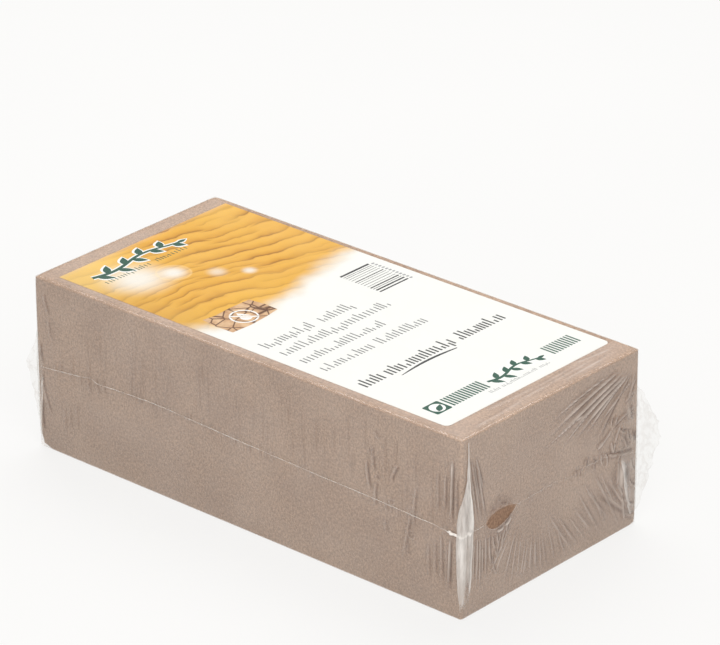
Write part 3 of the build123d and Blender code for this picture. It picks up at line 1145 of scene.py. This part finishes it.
def build_ear(node, corner_s, before, after, seed, sharpness):
    """Spare film gathered at a corner: it leaves both walls, meets along a crumpled outer edge, and lies
    against each wall for a little way, before the corner and after it going round."""
    low, high = node_box(node)
    corner_plan, outward = (found[0] for found in around(np.array([corner_s])))
    sideways = np.array([-outward[1], outward[0]])
    far = np.array([high[0] if outward[0] > 0 else low[0], high[1] if outward[1] > 0 else low[1]])
    reach = (far - corner_plan) @ outward - EAR_INSET
    columns, rows = 81, 130
    u, z = np.meshgrid(np.linspace(-1, 1, columns), np.linspace(low[2], high[2], rows))
    # Its strips past this share of its half width lie against the walls.
    flange = 0.45
    spread = ear_spread(z, low[2], high[2], seam_height + 1, sharpness)
    ragged = 1 - 0.36 * crumple(z / 5, np.full(z.shape, 3 + seed), seed)
    out_share = np.clip(1 - np.abs(u) / flange, 0, 1)
    on_wall_share = np.clip((np.abs(u) - flange) / (1 - flange), 0, 1)

    # The part that lies against the walls
    cover = np.where(u < 0, before, after)
    s = corner_s + np.sign(u) * cover * on_wall_share * (0.35 + 0.65 * spread)
    plan, normal = around(s.ravel())
    folds = crumple(s / 5.5, z / 8, seed)
    lift = wall_folds.measure(wrapped(s).ravel(), z.ravel())[0]
    pillow = 0.2 + (0.9 * folds + 0.25) * np.sin(np.pi * np.clip(1 - on_wall_share, 0, 1)) ** 0.5
    points = plan + normal * (lift + (pillow * (0.3 + 0.7 * spread)).ravel())[:, None]

    # The part that stands out, crumpled to and fro
    out = (reach * spread * ragged * out_share).ravel()
    sway = (crumple((out_share * reach) / 7, z / 9, seed + 20) - 0.5).ravel()
    sway *= EAR_SWAY * np.clip(out / 4, 0, 1)
    gap = (0.5 * np.sign(u) * (1 - out_share) * out_share * 4).ravel()
    points = points + outward * out[:, None] + sideways * (sway + gap * spread.ravel())[:, None]
    points = np.column_stack([points, z.ravel()])

    # How milky, how dull and how much painted shade it has, on its faces and where it stands out
    facets = crumple(u * 6, z / 4, seed + 40)
    low_down = smooth_step((seam_height - 4 - z) / 6)
    rim = bell(1 - np.abs(u), 0.09) * low_down
    on_face = np.clip((np.abs(u) - flange) / 0.1, 0, 1)
    cloud = 0.004 + 0.09 * facets ** 8 + on_face * (0.04 + 0.16 * low_down * facets + 0.45 * rim)
    # Painted shade lies in the hollows of the crumples on its faces, and painted dark patches, for what the
    # standing film bends and mirrors, lie where it stands out.
    painted_dark_patch = smooth_step((crumple(out_share * reach / 3.5 + 7, z / 3.5, seed + 60) - 0.62) / 0.2)
    shade = 0.5 * smooth_step((0.42 - folds) / 0.2) * on_face + 0.07 * painted_dark_patch * (1 - on_face)
    calm = 0.75 + 0.23 * (1 - on_face)
    faces = grid_faces(rows, columns)
    piece = make_piece(node + "_film", points, faces, [film_edge], [node])
    mark_film(piece, cloud.ravel(), shade.ravel(), calm.ravel())


# Outline of the pressed ear at the near corner: height, and how far it reaches round to either side
NEAR_EAR = [
    (4, -0.5, 0.2), (8.5, -0.9, 3.8), (15.5, -1.5, 5.2), (26.5, -2.1, 5.9), (33.5, -2.5, 6.3),
    (37, -1.9, 6.5), (42, -1.8, 6.6), (48, -0.9, 6), (53.5, 0.3, 4.9), (60, 2.4, 4.4), (68, 2.9, 3.9),
    (76, 3.1, 3.5),
]


# How high the weld crosses it
NEAR_WELD = 37.2


def build_near_ear():
    """The ear at the near corner, pressed flat: a milky pleated lens with a weld across it, drawn out to a
    line at the top and split in two points at the foot."""
    columns, rows = 90, 170
    heights = np.linspace(NEAR_EAR[0][0], min(NEAR_EAR[-1][0], film_top - edge_rise), rows)
    u, z = np.meshgrid(np.linspace(-1, 1, columns), heights)
    levels, left_sides, right_sides = zip(*NEAR_EAR)
    ragged = 0.35 * (value_noise(z / 3 + 10, np.sign(u) * 3 + 9, 21) - 0.5)
    left = np.interp(z, levels, left_sides)
    right = np.interp(z, levels, right_sides)
    s = (left + right) / 2 + u * (right - left) / 2 + ragged * np.clip((right - left) / 4, 0, 1)
    pleats = value_noise(u * 4.5 + 30, z / 34 + 10, 9)
    fine = value_noise(u * 11 + 60, z / 18 + 30, 12)
    body = np.sqrt(np.clip(1 - u ** 2, 0, 1))
    lift = 0.3 + body * (0.5 + 0.8 * pleats + 0.4 * fine) * np.clip((right - left) / 6, 0.15, 1)
    plan, normal = around(s.ravel())
    points = np.column_stack([plan + normal * lift.ravel()[:, None], z.ravel()])

    # Where it is milky: a bright band up its right side, the weld, and two bands that run to its points
    weld = bell(z - NEAR_WELD - 0.6 * u - 1.8 * (value_noise(u * 4 + 9, 0.5, 33) - 0.5), 1.4)
    upper = smooth_step((z - 37) / 3)
    band = bell(u - 0.62, 0.26) * (0.55 + 0.35 * fine)
    apex = smooth_step((z - 52) / 8) * (0.3 - 0.15 * smooth_step((z - 62) / 10))
    left_band = bell(u + 0.42, 0.34) * (0.2 + 0.16 * smooth_step((z - 14) / 14))
    right_band = bell(u - 0.72, 0.22) * (0.26 + 0.2 * fine)
    cloud = 0.26 + 0.16 * pleats + 0.16 * fine + 0.2 * upper * (1 - smooth_step((z - 50) / 10))
    cloud += upper * np.maximum(band, apex) + (1 - upper) * np.maximum(left_band, right_band)
    cloud = np.maximum(cloud, weld * (0.75 + 0.25 * fine))
    # Between its two points it fades out.
    gone = smooth_step((21 - z) / 11) * smooth_step((u + 0.6) / 0.35) * (1 - smooth_step((u - 0.25) / 0.35))
    cloud *= (1 - gone) * smooth_step((z - 3.5 - 5 * smooth_step(u / 0.4)) / 6)
    cloud *= smooth_step((1 - np.abs(u)) / 0.12 + 0.25)
    # Painted shade in the hollows between its pleats.
    shade = 0.22 * (1 - pleats) * body * smooth_step((z - 10) / 8)
    piece = make_piece("ear_front_right_film", points, grid_faces(rows, columns), [film_edge],
                       ["ear_front_right"])
    mark_film(piece, cloud.ravel(), shade.ravel(), np.full(cloud.size, 0.6))


# The other ears: the wall before the corner, how far the ear covers that wall and the one after, its
# seed, and how sharply it stands out
FAR_EARS = [
    ("ear_back_right", "end", 12, 6, 31, 0.75),
    ("ear_back_left", "back", 8, 5, 38, 0.75),
    ("ear_front_left", "left", 6, 4, 45, 1.3),
]
build_seal()
build_near_ear()
for node, wall, before, after, seed, sharpness in FAR_EARS:
    k = WALLS.index(wall)
    corner_s = float(wrapped(wall_starts[k] + wall_lengths[k] + quarter / 2))
    build_ear(node, corner_s, before, after, seed, sharpness)


# ------------ studio

def build_studio():
    """The table, a pale room round it, and two square lights aimed at the brick."""
    mesh = bpy.data.meshes.new("studio_floor")
    reach = 6
    corners = [(-reach, -reach, 0), (reach, -reach, 0), (reach, reach, 0), (-reach, reach, 0)]
    mesh.from_pydata(corners, [], [(0, 1, 2, 3)])
    mesh.materials.append(floor_material())
    floor = bpy.data.objects.new("studio_floor", mesh)
    bpy.context.scene.collection.objects.link(floor)

    world = bpy.data.worlds.new("studio")
    world.use_nodes = True
    background = world.node_tree.nodes["Background"]
    background.inputs["Color"].default_value = ROOM_LIGHT
    background.inputs["Strength"].default_value = ROOM_GLOW
    bpy.context.scene.world = world

    aim = Vector((0, 0, 0.04))
    for name, place, size, power in (
        ("overhead_softbox", (-0.36, 0.46, 1.1), 1, 12),
        ("front_softbox", (0.75, -0.78, 1.18), 1.2, 16.2),
    ):
        light = bpy.data.lights.new(name, "AREA")
        light.shape = "SQUARE"
        light.size = size
        light.energy = power
        lamp = bpy.data.objects.new(name, light)
        lamp.location = place
        lamp.rotation_euler = (aim - Vector(place)).to_track_quat("-Z", "Y").to_euler()
        bpy.context.scene.collection.objects.link(lamp)


def build_camera():
    """A long lens from the near corner, a little above the brick."""
    azimuth, elevation, roll = math.radians(41.686), math.radians(25.229), math.radians(-0.307)
    aim = Vector((0.00143, 0.01568, 0.06758))
    distance = 1.82868
    flat = math.cos(elevation)
    back = Vector((math.sin(azimuth) * flat, -math.cos(azimuth) * flat, math.sin(elevation)))
    data = bpy.data.cameras.new("camera")
    data.sensor_width = 36
    data.lens = 225.95
    data.clip_end = 50
    camera = bpy.data.objects.new("camera", data)
    camera.location = aim + back * distance
    camera.rotation_mode = "QUATERNION"
    camera.rotation_quaternion = (-back).to_track_quat("-Z", "Y") @ Quaternion((0, 0, 1), roll)
    bpy.context.scene.collection.objects.link(camera)
    bpy.context.scene.camera = camera


build_studio()
build_camera()
bpy.context.scene.view_settings.view_transform = "Standard"
